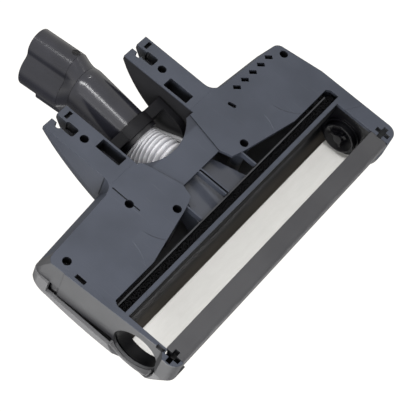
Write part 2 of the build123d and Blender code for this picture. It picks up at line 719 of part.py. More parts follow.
stub_r = STUB_BORE_R + DUCT_T
duct = duct_funnel(DUCT_T, DUCT_ROUND_Y)
duct = duct + extrude(duct_plane(DUCT_ROUND_Y, DUCT_END_Z) * Circle(stub_r), DUCT_END_Y - DUCT_ROUND_Y)
duct = duct - duct_funnel(0, DUCT_ROUND_Y - DUCT_T)
duct_bore = DUCT_END_Y - DUCT_ROUND_Y + 2 * DUCT_T
duct = duct - extrude(duct_plane(DUCT_ROUND_Y - DUCT_T - 1, DUCT_END_Z) * Circle(STUB_BORE_R), duct_bore)
save("suction_duct", duct)

# Collar on the stub
stub_end = duct_plane(DUCT_END_Y, DUCT_END_Z)
collar = extrude(stub_end * (Circle(stub_r + COLLAR_T) - Circle(stub_r + THREAD_GAP)), -STUB_COLLAR_L)
save("hose_collar", collar)

# Corrugated hose from the stub to the cuff on the yoke, cut square to each seat
cuff_at = swivel.from_local_coords(Vector(0, 0, SLEEVE_START - CUFF_L))
hose_seat = Vector(0, DUCT_END_Y, DUCT_END_Z)
hose_dir = (cuff_at - hose_seat).normalized()
hose_l = (cuff_at - hose_seat).length + 2 * HOSE_SPARE
hose_axis = Plane(origin=hose_seat - hose_dir * HOSE_SPARE, x_dir=(1, 0, 0), z_dir=hose_dir)
pitch = hose_l / HOSE_RIDGES
hose_in_r = HOSE_R - HOSE_RIDGE - HOSE_T
hose_points = [(hose_in_r, 0)]
for i in range(HOSE_RIDGES):
    hose_points.append((HOSE_R - HOSE_RIDGE, i * pitch))
    hose_points.append((HOSE_R, (i + 0.5) * pitch))
hose_points.append((HOSE_R - HOSE_RIDGE, hose_l))
hose_points.append((hose_in_r, hose_l))
hose_face = Plane.XZ * make_face(Polyline(*hose_points, close=True))
hose = hose_axis * revolve(hose_face, Axis.Z)
seat_cut = duct_plane(DUCT_END_Y + HOSE_END_GAP, DUCT_END_Z) * Rectangle(4 * HOSE_R, 4 * HOSE_R)
cuff_cut = swivel.offset(SLEEVE_START - CUFF_L - HOSE_END_GAP) * Rectangle(4 * HOSE_R, 4 * HOSE_R)
hose = hose & extrude(seat_cut, 4 * HOSE_R) & extrude(cuff_cut, -4 * HOSE_R)
save("hose", hose)

# Power lead beside the hose: two straight runs with a bend between them
lead_end = swivel.from_local_coords(Vector(LEAD_X, PIVOT_Z - LEAD_Z, SLEEVE_START + YOKE_STEP - 3 * SEAT_GAP))
lead_from = Vector(LEAD_X, DUCT_END_Y + SEAT_GAP, LEAD_Z)
lead_mid = (lead_from + lead_end) * 0.5 + Vector(-LEAD_BOW, 0, -LEAD_BOW / 2)
lead_path = FilletPolyline(lead_from, lead_mid, lead_end, radius=LEAD_BEND_R)
lead = sweep(Plane(origin=lead_path @ 0, z_dir=lead_path % 0) * Circle(LEAD_R), path=lead_path)
save("power_lead", lead)

# Screws in the sole wells
screws = []
for x, y in screw_spots:
    head_top = WELL_DEPTH - THREAD_GAP
    head = z_rod(SCREW_HEAD_R, head_top - SCREW_HEAD_H, head_top, x, y)
    shank = z_rod(SCREW_R, head_top, PART_Z + SCREW_BITE - SEAT_GAP, x, y)
    screws.append(head + shank)
save("housing_screws", Compound(children=screws))

# Pivot bushes in the arms
bushes = []
for side in (1, -1):
    ring = x_rod(bush_r, side * ARM_IN_X, side * (ARM_IN_X + BUSH_L), PIVOT_Y, PIVOT_Z)
    bush_end = ARM_IN_X + BUSH_L + 1
    ring = ring - x_rod(PIN_R + RUN_GAP, side * (ARM_IN_X - 1), side * bush_end, PIVOT_Y, PIVOT_Z)
    bushes.append(ring)
save("pivot_bushes", Compound(children=bushes))

# Drive end wall with a raised lip round the hub
wall_back_x = CHAMBER_LEFT_X - DRIVE_WALL_T
wall_face = Pos(ROLLER_Y, ROLLER_Z) * Circle(END_RING_R)
wall_h = ROLLER_Z - SOLE_T
wall_face = wall_face + Pos(ROLLER_Y, SOLE_T + wall_h / 2) * Rectangle(DRIVE_WALL_W, wall_h)
wall_face = wall_face & (Pos(ROLLER_Y, SOLE_T + TOP_MID_Z) * Rectangle(4 * END_RING_R, 2 * TOP_MID_Z))
drive_wall = along_x(wall_face, wall_back_x, CHAMBER_LEFT_X - SEAT_GAP)
lip = Pos(ROLLER_Y, ROLLER_Z) * (Circle(HUB_R + MOVE_GAP + HUB_LIP) - Circle(HUB_R + MOVE_GAP))
drive_wall = drive_wall + along_x(lip, CHAMBER_LEFT_X - SEAT_GAP, CHAMBER_LEFT_X + HUB_LIP)
bearing_seat_r = BEARING_R + THREAD_GAP
drive_wall = drive_wall - x_rod(bearing_seat_r, wall_back_x - 1, CHAMBER_LEFT_X + 1, ROLLER_Y, ROLLER_Z)
save("drive_wall", drive_wall)
bearing = x_rod(BEARING_R, wall_back_x, CHAMBER_LEFT_X - SEAT_GAP, ROLLER_Y, ROLLER_Z)
bearing = bearing - x_rod(HUB_SHAFT_R + RUN_GAP, wall_back_x - 1, CHAMBER_LEFT_X + 1, ROLLER_Y, ROLLER_Z)
save("hub_bearing", bearing)

# Drive hub: cup with a cone and three driving dogs
hub_back = CHAMBER_LEFT_X + MOVE_GAP
hub_plane = Plane(origin=(hub_back, ROLLER_Y, ROLLER_Z), x_dir=(0, 1, 0), z_dir=(1, 0, 0))
hub = extrude(hub_plane * Circle(HUB_R), HUB_DEPTH)
hub_cup = Cone(HUB_BOSS_R + HUB_RIM_T, HUB_R - HUB_RIM_T, HUB_DEPTH - 2 * HUB_FLOOR_T)
hub = hub - hub_plane * Pos(0, 0, HUB_DEPTH / 2 + HUB_FLOOR_T) * hub_cup
hub = hub + extrude(hub_plane * Circle(HUB_BOSS_R), HUB_DEPTH + HUB_BOSS_STAND)
for i in range(HUB_DOGS):
    dog = Rot(0, 0, i * 360 / HUB_DOGS) * Pos(HUB_BOSS_R + HUB_DOG_OUT, 0) * Rectangle(HUB_DOG_L, HUB_DOG_W)
    hub = hub + extrude(hub_plane * dog, HUB_DEPTH)
shaft_end_x = BELT_X - BELT_W / 2
hub = hub + x_rod(HUB_SHAFT_R, shaft_end_x, hub_back, ROLLER_Y, ROLLER_Z)
save("drive_hub", hub)


def pulley(radius, bore, y, z):
    groove = x_rod(radius, BELT_X - BELT_W / 2, BELT_X + BELT_W / 2, y, z)
    return groove - x_rod(bore + THREAD_GAP, BELT_X - BELT_W, BELT_X + BELT_W, y, z)


save("hub_pulley", pulley(HUB_PULLEY_R, HUB_SHAFT_R, ROLLER_Y, ROLLER_Z))

# Motor, its cradle, shaft, pulley and belt
motor = x_rod(MOTOR_R, MOTOR_FRONT_X, MOTOR_REAR_X, MOTOR_Y, MOTOR_Z)
motor = motor + x_rod(MOTOR_BOSS_R, MOTOR_FRONT_X - MOTOR_BOSS_L, MOTOR_FRONT_X, MOTOR_Y, MOTOR_Z)
bore_from = MOTOR_FRONT_X - 2 * MOTOR_BOSS_L
bore_to = MOTOR_FRONT_X + MOTOR_BORE_L
motor = motor - x_rod(MOTOR_SHAFT_R + RUN_GAP, bore_from, bore_to, MOTOR_Y, MOTOR_Z)
save("motor", motor)
cradle_face = Pos(MOTOR_Y, (SOLE_T + CRADLE_TOP_Z) / 2) * Rectangle(CRADLE_W, CRADLE_TOP_Z - SOLE_T)
cradle_face = cradle_face - Pos(MOTOR_Y, MOTOR_Z) * Circle(MOTOR_R + SEAT_GAP)
save("motor_cradle", along_x(cradle_face, MOTOR_FRONT_X + CRADLE_IN, MOTOR_REAR_X - CRADLE_IN))
rotor = x_rod(MOTOR_SHAFT_R, shaft_end_x, MOTOR_FRONT_X + ROTOR_SEAT_L, MOTOR_Y, MOTOR_Z)
save("motor_shaft", rotor)
save("motor_pulley", pulley(MOTOR_PULLEY_R, MOTOR_SHAFT_R, MOTOR_Y, MOTOR_Z))


def belt_loop(grow):
    big = Pos(ROLLER_Y, ROLLER_Z) * Circle(HUB_PULLEY_R + grow)
    small = Pos(MOTOR_Y, MOTOR_Z) * Circle(MOTOR_PULLEY_R + grow)
    return make_hull(big.edges() + small.edges())


belt = belt_loop(BELT_GAP + BELT_T) - belt_loop(BELT_GAP)
save("drive_belt", along_x(belt, BELT_X - BELT_W / 2 + BELT_SIDE_GAP, BELT_X + BELT_W / 2 - BELT_SIDE_GAP))

# Yoke: swivel sleeve with two cheeks that hang on the pivot pins
sleeve = extrude(swivel.offset(SLEEVE_START) * Circle(SLEEVE_R), SLEEVE_L)
bridge = RectangleRounded(2 * YOKE_OUT_X, 2 * YOKE_PIVOT_R, YOKE_EDGE_R)
yoke = sleeve + extrude(swivel.offset(SLEEVE_START + YOKE_STEP) * bridge, SLEEVE_L - YOKE_STEP)
for side in (1, -1):
    cheek_at = swivel * Pos(side * (YOKE_OUT_X - YOKE_CHEEK_T / 2), 0, 0)
    eye = Cylinder(YOKE_PIVOT_R, YOKE_CHEEK_T)
    tongue = Box(YOKE_CHEEK_T, 2 * YOKE_PIVOT_R, SLEEVE_START + SLEEVE_L)
    cheek = Rot(0, 90, 0) * eye + Pos(0, 0, (SLEEVE_START + SLEEVE_L) / 2) * tongue
    yoke = yoke + cheek_at * cheek
    seat_x = YOKE_OUT_X - PIN_SEAT - SEAT_GAP
    yoke = yoke - x_rod(PIN_R + THREAD_GAP, side * seat_x, side * (YOKE_OUT_X + 1), PIVOT_Y, PIVOT_Z)
sleeve_bore = extrude(swivel * Circle(SPIGOT_R + RUN_GAP), 2 * SLEEVE_START + SLEEVE_L)
yoke = yoke - sleeve_bore
save("yoke", yoke)
pins = []
for side in (1, -1):
    pin_from = YOKE_OUT_X - PIN_SEAT
    pin_to = ARM_IN_X + BUSH_L - SEAT_GAP
    pins.append(x_rod(PIN_R, side * pin_from, side * pin_to, PIVOT_Y, PIVOT_Z))
save("pivot_pins", Compound(children=pins))
cuff_face = Circle(SLEEVE_R - CUFF_STEP) - Circle(hose_in_r)
cuff = extrude(swivel.offset(SLEEVE_START - CUFF_L) * cuff_face, CUFF_L)
save("hose_cuff", cuff)

# Elbow: spigot in the sleeve, straight run and a round knee cut square to the tube
elbow_from = SLEEVE_START + MOVE_GAP
shoulder = SLEEVE_START + SLEEVE_L + MOVE_GAP
elbow = extrude(swivel.offset(elbow_from) * Circle(SPIGOT_R), shoulder - elbow_from)
elbow = elbow + extrude(swivel.offset(shoulder) * Circle(ELBOW_R), ELBOW_L - shoulder)
elbow = elbow + Pos(bend) * Sphere(ELBOW_R)
elbow = elbow - extrude(swivel.offset(elbow_from - 1) * Circle(ELBOW_BORE_R), ELBOW_L - elbow_from + 1)
elbow = elbow - Pos(bend) * Sphere(ELBOW_BORE_R)
elbow = elbow - extrude(tube.offset(COLLAR_FROM) * Circle(2 * ELBOW_R), 2 * ELBOW_R)
save("elbow", elbow)


# Section of the neck tube: the round wand socket, the smaller contact tube under it, and a valley between
def neck_section():
    big_at = Vector(TUBE_X, -TUBE_LIFT)
    small_at = Vector(KEEL_X, KEEL_DROP)
    gap = small_at - big_at
    along = gap.normalized()
    across = Vector(-along.Y, along.X)
    big_reach = TUBE_R + VALLEY_R
    small_reach = KEEL_R + VALLEY_R
    foot = (gap.length ** 2 + big_reach ** 2 - small_reach ** 2) / (2 * gap.length)
    offset_l = math.sqrt(big_reach ** 2 - foot ** 2)
    valleys = [big_at + along * foot + across * (hand * offset_l) for hand in (1, -1)]
    on_big = [big_at + (valley - big_at).normalized() * TUBE_R for valley in valleys]
    on_small = [small_at + (valley - small_at).normalized() * KEEL_R for valley in valleys]
    mids = [valleys[i] - across * ((1 - 2 * i) * VALLEY_R) for i in (0, 1)]
    return make_face(
        [
            ThreePointArc(on_big[0], big_at - along * TUBE_R, on_big[1]),
            ThreePointArc(on_big[1], mids[1], on_small[1]),
            ThreePointArc(on_small[1], small_at + along * KEEL_R, on_small[0]),
            ThreePointArc(on_small[0], mids[0], on_big[0]),
        ]
    )


# Neck collar: shoulder that runs from the round knee to the neck tube's section
collar_from = COLLAR_FROM + SEAT_GAP
knee_r = math.sqrt(ELBOW_R ** 2 - COLLAR_FROM ** 2)
collar_to = COLLAR_FROM + COLLAR_L
neck_collar = loft([tube.offset(collar_from) * Circle(knee_r), tube.offset(collar_to) * neck_section()])
collar_bore = loft(
    [
        tube.offset(collar_from) * Circle(ELBOW_BORE_R),
        tube.offset(collar_to) * Pos(TUBE_X, -TUBE_LIFT) * Circle(ELBOW_BORE_R),
    ]
)
neck_collar = neck_collar - collar_bore
save("neck_collar", neck_collar)

# Neck tube with the socket, the button pad and the contact recess
tube_from = collar_to + SEAT_GAP
tube_to = collar_to + TUBE_L
socket_at = Pos(TUBE_X, -TUBE_LIFT)
neck_tube = extrude(tube.offset(tube_from) * neck_section(), tube_to - tube_from)
pad_h = TUBE_R + PAD_H
pad = Pos(TUBE_X, -TUBE_LIFT - pad_h / 2) * RectangleRounded(PAD_W, pad_h, PAD_R)
neck_tube = neck_tube + extrude(tube.offset(BUTTON_AT - PAD_L / 2) * pad, PAD_L)
socket_floor = tube.offset(tube_to - SOCKET_L)
neck_tube = neck_tube - extrude(socket_floor * socket_at * Circle(TUBE_BORE_R), SOCKET_L + 1)
neck_tube = neck_tube - extrude(tube.offset(tube_from - 1) * socket_at * Circle(ELBOW_BORE_R), TUBE_L)
pocket_h = BUTTON_SUNK + BUTTON_TRAVEL + SEAT_GAP
button_at = tube * Pos(TUBE_X, -TUBE_LIFT - pad_h, BUTTON_AT) * Rot(90, 0, 0)
pocket = Box(BUTTON_W + 2 * SEAT_GAP, BUTTON_L + 2 * SEAT_GAP, 2 * pocket_h)
neck_tube = neck_tube - button_at * pocket
block_room = Box(BLOCK_W + 2 * SEAT_GAP, BLOCK_H + 2 * SEAT_GAP, 2 * BLOCK_L)
neck_tube = neck_tube - tube * Pos(KEEL_X, BLOCK_DROP, tube_to) * block_room
screw_at = Pos(KEEL_X, KEEL_DROP, tube_from + SCREW_SEAT_L)
screw_well = tube * screw_at * Rot(0, 0, NECK_SCREW_DEG) * Rot(0, 90, 0)
screw_seat = KEEL_R - SCREW_HEAD_H
neck_tube = neck_tube - screw_well * Pos(0, 0, screw_seat + WELL_WALL) * Cylinder(WELL_BORE_R, 2 * WELL_WALL)
screw_hole = Cylinder(SCREW_R + THREAD_GAP, NECK_SCREW_L)
neck_tube = neck_tube - screw_well * Pos(0, 0, screw_seat - NECK_SCREW_L / 2) * screw_hole
save("neck_tube", neck_tube)
neck_head = screw_well * Pos(0, 0, screw_seat + SCREW_HEAD_H / 2) * Cylinder(SCREW_HEAD_R, SCREW_HEAD_H)
shank_mid = screw_seat - NECK_SCREW_L / 2 + SEAT_GAP
neck_shank = screw_well * Pos(0, 0, shank_mid) * Cylinder(SCREW_R, NECK_SCREW_L)
save("neck_screw", neck_head + neck_shank)

# Contact block and pins in the recess of the contact tube
block = tube * Pos(KEEL_X, BLOCK_DROP, tube_to - BLOCK_L / 2) * Box(BLOCK_W, BLOCK_H, BLOCK_L - 2 * SEAT_GAP)
contacts = []
for i in range(PIN_COUNT):
    pin_x = KEEL_X + (i - (PIN_COUNT - 1) / 2) * CONTACT_PITCH
    contact_z = tube_to - BLOCK_L + SEAT_GAP + CONTACT_L / 2
    pin_at = tube * Pos(pin_x, BLOCK_DROP, contact_z)
    contacts.append(pin_at * Cylinder(CONTACT_R, CONTACT_L))
    block = block - pin_at * Cylinder(CONTACT_R + THREAD_GAP, CONTACT_L + 2)
save("contact_block", block)
save("contact_pins", Compound(children=contacts))

# Release button
button = Box(BUTTON_W, BUTTON_L, BUTTON_SUNK + BUTTON_STAND)
button = fillet(button.faces().sort_by(Axis.Z)[-1].edges(), BUTTON_EDGE_R)
save("release_button", button_at * Pos(0, 0, (BUTTON_STAND - BUTTON_SUNK) / 2) * button)
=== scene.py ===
import math

import bmesh
import bpy
from mathutils import Matrix, Vector


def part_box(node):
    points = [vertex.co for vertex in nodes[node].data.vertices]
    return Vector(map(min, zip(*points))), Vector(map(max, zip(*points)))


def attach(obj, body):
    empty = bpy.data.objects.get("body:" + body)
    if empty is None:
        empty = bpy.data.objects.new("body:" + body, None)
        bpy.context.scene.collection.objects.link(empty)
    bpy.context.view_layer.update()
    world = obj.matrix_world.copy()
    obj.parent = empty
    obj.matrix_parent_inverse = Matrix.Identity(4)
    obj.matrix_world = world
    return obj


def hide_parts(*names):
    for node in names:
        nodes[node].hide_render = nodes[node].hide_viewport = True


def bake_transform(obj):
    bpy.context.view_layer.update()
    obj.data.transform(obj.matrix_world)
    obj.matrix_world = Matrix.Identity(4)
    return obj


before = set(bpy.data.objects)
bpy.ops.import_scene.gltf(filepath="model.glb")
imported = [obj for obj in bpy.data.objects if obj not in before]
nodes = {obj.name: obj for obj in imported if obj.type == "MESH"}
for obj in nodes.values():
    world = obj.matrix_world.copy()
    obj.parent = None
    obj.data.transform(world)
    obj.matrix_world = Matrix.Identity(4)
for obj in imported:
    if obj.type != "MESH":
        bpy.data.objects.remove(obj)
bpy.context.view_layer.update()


# Lower moulding: the sole tray with its end wall and the two arms that hold the neck's pivot.
# One slate-grey shot of ABS with a spark-eroded grain, rubbed along the direction of travel on the sole;
# light is painted on it paler at its open end, and shade near black in its wells and slots, between its arms
# and under the rim.
class Wire:
    """A socket in a node tree. Arithmetic on it adds Math nodes, and node() adds any other node."""

    def __init__(self, tree, socket):
        self.tree = tree
        self.socket = socket

    @classmethod
    def material(cls, name, **constants):
        """A new material, its Principled surface with constants set, and the piece's own place in metres."""
        made = bpy.data.materials.new(name)
        made.use_nodes = True
        surface = made.node_tree.nodes["Principled BSDF"]
        for key, value in constants.items():
            surface.inputs[key.replace("_", " ")].default_value = value
        place = made.node_tree.nodes.new("ShaderNodeTexCoord")
        return made, surface, cls(made.node_tree, place.outputs["Object"])

    def node(self, kind, settings=None, inputs=None, output=0):
        """Adds a node whose inputs are values or wires, and gives one of its outputs."""
        made = self.tree.nodes.new(kind)
        for key, value in (settings or {}).items():
            setattr(made, key, value)
        for key, value in (inputs or {}).items():
            if isinstance(value, Wire):
                self.tree.links.new(value.socket, made.inputs[key])
            else:
                made.inputs[key].default_value = value
        return Wire(self.tree, made.outputs[output])

    def math(self, operation, first, second=0.0):
        return self.node("ShaderNodeMath", {"operation": operation}, {0: first, 1: second})

    def __add__(self, other):
        return self.math("ADD", self, other)

    def __sub__(self, other):
        return self.math("SUBTRACT", self, other)

    def __rsub__(self, other):
        return self.math("SUBTRACT", other, self)

    def __mul__(self, other):
        return self.math("MULTIPLY", self, other)

    def __abs__(self):
        return self.math("ABSOLUTE", self)

    __radd__ = __add__
    __rmul__ = __mul__

    def above(self, low, high):
        """0 below low, 1 above high, and a smooth step between them."""
        step = {"interpolation_type": "SMOOTHSTEP"}
        return self.node("ShaderNodeMapRange", step, {"Value": self, "From Min": low, "From Max": high})

    def noise(self, scale, detail=2.0):
        return self.node("ShaderNodeTexNoise", None, {"Vector": self, "Scale": scale, "Detail": detail})

    def stretched(self, x, y, z):
        return self.node("ShaderNodeVectorMath", {"operation": "MULTIPLY"}, {0: self, 1: (x, y, z)})

    def part(self, axis):
        return self.node("ShaderNodeSeparateXYZ", None, {0: self}, axis)

    def tint(self, low, high):
        """From colour low to colour high as this value goes from 0 to 1. Colours are numbers or wires."""
        low, high = (c if isinstance(c, Wire) else (*c, 1) for c in (low, high))
        return self.node("ShaderNodeMix", {"data_type": "RGBA"}, {0: self, 6: low, 7: high}, 2)

    def shaded(self, colour, depth):
        """The colour in the open, with shade painted in: nearly black in corners and holes narrower than
        depth.
        """
        hollow = self.node("ShaderNodeAmbientOcclusion", {"samples": 4}, {"Distance": depth}, "AO")
        return hollow.above(0.35, 0.9).tint((0.003, 0.003, 0.004), colour)

    def softened(self, radius):
        """The surface normal with its edges rounded off."""
        return self.node("ShaderNodeBevel", {"samples": 4}, {"Radius": radius})

    def bump(self, strength, distance, over=None):
        made = {"Strength": strength, "Distance": distance, "Height": self}
        if over is not None:
            made["Normal"] = over
        return self.node("ShaderNodeBump", None, made)

    def feed(self, surface, socket):
        self.tree.links.new(self.socket, surface.inputs[socket])


def moulded(name, dark, pale, roughness, grain, edge, hollow=0.012, shine=0.3):
    """Moulded plastic: colour that drifts from dark to pale with shade painted nearly black in hollows, an
    uneven sheen, a fine grain and softened edges. Gives the material, its surface, place, colour in the open
    and normal."""
    made, surface, place = Wire.material(name, Specular_IOR_Level=shine)
    colour = place.noise(24, 3).above(0.3, 0.7).tint(dark, pale)
    # Painted shade: the colour goes nearly black in hollows narrower than hollow.
    place.shaded(colour, hollow).feed(surface, "Base Color")
    (roughness - 0.06 + 0.12 * place.noise(90, 4)).feed(surface, "Roughness")
    normal = place.noise(2400, 1).bump(grain, 0.00015, place.softened(edge))
    normal.feed(surface, "Normal")
    return made, surface, place, colour, normal


def paint(material, *names):
    """Puts the material on these CAD nodes."""
    for name in names:
        nodes[name].material_slots[0].material = material


slate_dark, slate_pale = (0.040, 0.046, 0.062), (0.052, 0.059, 0.079)
rubbed_grey, cheek_shade_black = (0.11, 0.115, 0.125), (0.009, 0.009, 0.011)
painted_light_grey, rim_shade_black = (0.068, 0.069, 0.073), (0.014, 0.014, 0.017)
well_depth = 0.012

# Each pair is where a zone starts to show and where it is full, along one axis.
sole_z = (0.0002, 0.0020)
cheek_z, cheek_y, cheek_end_x = (0.0005, 0.0015), (-0.012, -0.010), (0.0305, 0.0307)
painted_light_x, painted_light_z = (0.1185, 0.1200), (0.0004, 0.0012)
rim_shade_z, rim_shade_end_z, rim_shade_y = (0.018, 0.029), (0.0335, 0.0350), (-0.101, -0.092)

slate, surface, place, colour, normal = moulded(
    "slate_abs", slate_dark, slate_pale, roughness=0.46, grain=0.12, edge=0.0004
)
x, y, z = (place.part(axis) for axis in "XYZ")
on_sole = 1 - z.above(*sole_z)
rubbed = on_sole * place.stretched(900, 26, 60).noise(1, 3).above(0.62, 0.8)
# Painted shade: the walls between the arms go near black, and rougher.
cheek = z.above(*cheek_z) * y.above(*cheek_y) * (1 - abs(x).above(*cheek_end_x))
wear_light_and_shade = cheek.tint((rubbed * 0.35).tint(colour, rubbed_grey), cheek_shade_black)
# Painted light: the open end is painted a paler, neutral grey.
painted_light_end = x.above(*painted_light_x) * z.above(*painted_light_z)
wear_light_and_shade = painted_light_end.tint(wear_light_and_shade, painted_light_grey)
# Painted shade: the end wall darkens towards the groove under the cover's rim.
rim_shade = painted_light_end * z.above(*rim_shade_z) * y.above(*rim_shade_y)
wear_light_and_shade = (0.95 * rim_shade * (1 - z.above(*rim_shade_end_z))).tint(wear_light_and_shade, rim_shade_black)
# Painted shade: nearly black in the wells and slots.
place.shaded(wear_light_and_shade, well_depth).feed(surface, "Base Color")
(0.4 + 0.12 * place.noise(90, 4) + 0.5 * cheek).feed(surface, "Roughness")

# A curved flow mark on each panel of the sole, which opens out towards the front.
flow_x, flow_half, flow_from_y, flow_flare = 0.072, 0.0055, -0.036, 21.8
flow_edge, flow_fade, flow_depth = 0.0004, 0.008, 0.0006
run = flow_from_y - y
beside = abs(abs(x) - flow_x) - flow_half - flow_flare * run * run
flow = (1 - beside.above(-flow_edge, flow_edge)) * run.above(0.0, flow_fade) * on_sole
flow.bump(0.8, flow_depth, normal).feed(surface, "Normal")
paint(slate, "lower_housing", "end_wall", "arm_right", "arm_left")

# Upper cover: the domed shell screwed on from below, with the window's aperture in front.
# The same ABS in a more neutral grey, smoother than the sole, with satin sheen, fine hairlines and painted
# light at its open end.
cover_dark, cover_pale, cover_painted_light = (0.075, 0.075, 0.08), (0.095, 0.095, 0.1), (0.13, 0.13, 0.135)
cover_painted_light_x = (0.1215, 0.1235)
cover, surface, place, colour, _ = moulded(
    "cover_abs", cover_dark, cover_pale, roughness=0.38, grain=0.06, edge=0.0006
)
# Painted light: the rim and lip at the open end are painted paler.
painted_light_end = place.part("X").above(*cover_painted_light_x)
painted_light_end.tint(colour, cover_painted_light).feed(surface, "Base Color")
hairline = place.stretched(40, 900, 900).noise(1, 2).above(0.66, 0.72)
(0.33 + 0.2 * hairline + 0.1 * place.noise(90, 4)).feed(surface, "Roughness")
paint(cover, "upper_housing")

# Opening lip: the bead that carries the cover's edge round the roller opening, from rear rim to corner.
# Moulded with the cover in the same satin grey, painted paler here as light; it stands a little proud of the
# end wall's ring.
roller_y, roller_z = -0.0840, 0.0238
lip_in, lip_out, lip_round = 0.0170, 0.0184, 0.0004
lip_from, lip_to, lip_steps = math.radians(27), math.radians(153), 48
lip_mid_x, lip_end_x = 0.1253, 0.1280
lip_crease = math.radians(40)
wall_x, wall_front_y, wall_lean = 0.1226, -0.0996, 0.056
rings = []
for step in range(lip_steps + 1):
    share = step / lip_steps
    turn = lip_from + (lip_to - lip_from) * share
    reach = lip_mid_x + (lip_end_x - lip_mid_x) * (2 * share - 1) ** 2
    base = wall_x + wall_lean * (roller_y + lip_in * math.cos(turn) - wall_front_y)
    section = [
        (base, lip_in),
        (reach - lip_round, lip_in),
        (reach, lip_in + lip_round),
        (reach, lip_out - lip_round),
        (reach - lip_round, lip_out),
        (base, lip_out),
    ]
    rings.append([(x, roller_y + r * math.cos(turn), roller_z + r * math.sin(turn)) for x, r in section])
sides = len(rings[0])
lip_faces = []
for step in range(lip_steps):
    for side in range(sides):
        here = step * sides + side
        beyond = step * sides + (side + 1) % sides
        lip_faces.append((here, beyond, beyond + sides, here + sides))
lip_faces += [tuple(reversed(range(sides))), tuple(range(lip_steps * sides, (lip_steps + 1) * sides))]
lip_mesh = bpy.data.meshes.new("opening_lip")
lip_mesh.from_pydata([point for ring in rings for point in ring], [], lip_faces)
lip_mesh.materials.append(cover)
lip_mesh.shade_smooth()
lip_mesh.set_sharp_from_angle(angle=lip_crease)
lip = bpy.data.objects.new("opening_lip", lip_mesh)
bpy.context.collection.objects.link(lip)
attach(lip, "head")

# Chamber liner: the curved wall behind the roller, with a hoop at the open end.
# Gloss black polypropylene, polished by the bristles, with a brown reflection painted along its upper half.
liner_black, reflection_brown = (0.005, 0.005, 0.006), (0.055, 0.048, 0.04)
reflection_z, reflection_end_x, polished_z = (0.034, 0.038), (0.106, 0.111), (0.012, 0.030)
liner, surface, place = Wire.material("liner_gloss", Specular_IOR_Level=0.15)
height = place.part("Z")
# Painted reflection: a patchy brown band along the upper half, kept off the hoop at the open end.
painted_reflection = height.above(*reflection_z) * (0.45 + 0.55 * place.stretched(30, 160, 160).noise(1, 4))
painted_reflection = painted_reflection * (1 - place.part("X").above(*reflection_end_x))
painted_reflection.tint(liner_black, reflection_brown).feed(surface, "Base Color")
swept = place.stretched(20, 700, 700).noise(1, 3)
(0.75 - 0.45 * height.above(*polished_z) + 0.15 * swept + 0.25 * painted_reflection).feed(surface, "Roughness")
swept.bump(0.06, 0.0002, place.softened(0.0004)).feed(surface, "Normal")
paint(liner, "chamber_liner")

# Clear window: a bent pane of polycarbonate over the chamber, which shows what goes on inside.
# It is faintly smoky, hazed by dust on the inside, and less clear at its two ends.
smoke, dust = (0.66, 0.65, 0.62), (0.8, 0.795, 0.775)
window_end_x = (0.1085, 0.1095)
window, surface, place = Wire.material("window_clear", IOR=1.5, Roughness=0.16)
haze = place.stretched(30, 120, 120).noise(1, 4)
haze.tint(smoke, dust).feed(surface, "Base Color")
end_edge = abs(place.part("X")).above(*window_end_x)
(0.38 + 0.08 * haze + 0.12 * end_edge).feed(surface, "Alpha")
haze.bump(0.08, 0.0003, place.softened(0.0005)).feed(surface, "Normal")
paint(window, "clear_window")

# Front bar: the rounded nose under the window, which takes the knocks against skirting boards.
# A softer, neutral grey compound, painted pale in patches along its nose as scuffs and a highlight.
bar_dark, bar_pale, bar_scuff_and_highlight = (0.046, 0.046, 0.05), (0.058, 0.058, 0.062), (0.16, 0.16, 0.165)
nose_end_y = (-0.1146, -0.1128)
bar, surface, place, colour, _ = moulded(
    "bar_soft", bar_dark, bar_pale, roughness=0.55, grain=0.1, edge=0.0008
)
nose = 1 - place.part("Y").above(*nose_end_y)
# Scuffs and painted highlight: patches of paler grey along the nose.
nose_scuff_and_highlight = nose * place.stretched(120, 900, 900).noise(1, 5).above(0.45, 0.75)
place.shaded((0.4 * nose_scuff_and_highlight).tint(colour, bar_scuff_and_highlight), well_depth).feed(surface, "Base Color")
paint(bar, "front_bar")

# Strip channel: the grooved holder behind the chamber, and the lip that shows along the strip.
# Dark glass-filled nylon with a dry surface.
channel_dark, channel_pale = (0.03, 0.031, 0.035), (0.045, 0.047, 0.052)
channel, *_ = moulded("channel_nylon", channel_dark, channel_pale, roughness=0.5, grain=0.2, edge=0.0003)
paint(channel, "strip_channel")

# Strip: a row of soft black bristles set in the channel, which wipes the floor behind the roller.
# Tufts of nylon, cut level with the sole and splayed a little by use.
strip_low, strip_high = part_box("scraper_strip")
strip_size = strip_high - strip_low
tuft_rows, tuft_pitch, tuft_radius, tuft_sides = 6, 0.0010, 0.0005, 5
tuft_side_gap = 1.2 * tuft_radius
tuft_drift_low, tuft_drift_high, tuft_drift_seed = (-0.0004, -0.0004, -0.0001), (0.0004, 0.0004, 0.0005), 3
tuft_lean_low, tuft_lean_high, tuft_lean_seed = (-0.07, -0.09, 0.0), (0.07, 0.09, 1.2), 7
tuft_shy = 0.0003
bristle_black, bristle_worn = (0.001, 0.001, 0.0012), (0.004, 0.004, 0.005)

bristle, surface, place = Wire.material("bristle_nylon", Specular_IOR_Level=0.1)
place.noise(900, 2).tint(bristle_black, bristle_worn).feed(surface, "Base Color")
(0.6 + 0.25 * place.noise(1500, 1)).feed(surface, "Roughness")
place.stretched(3000, 3000, 60).noise(1, 2).bump(0.4, 0.0001).feed(surface, "Normal")


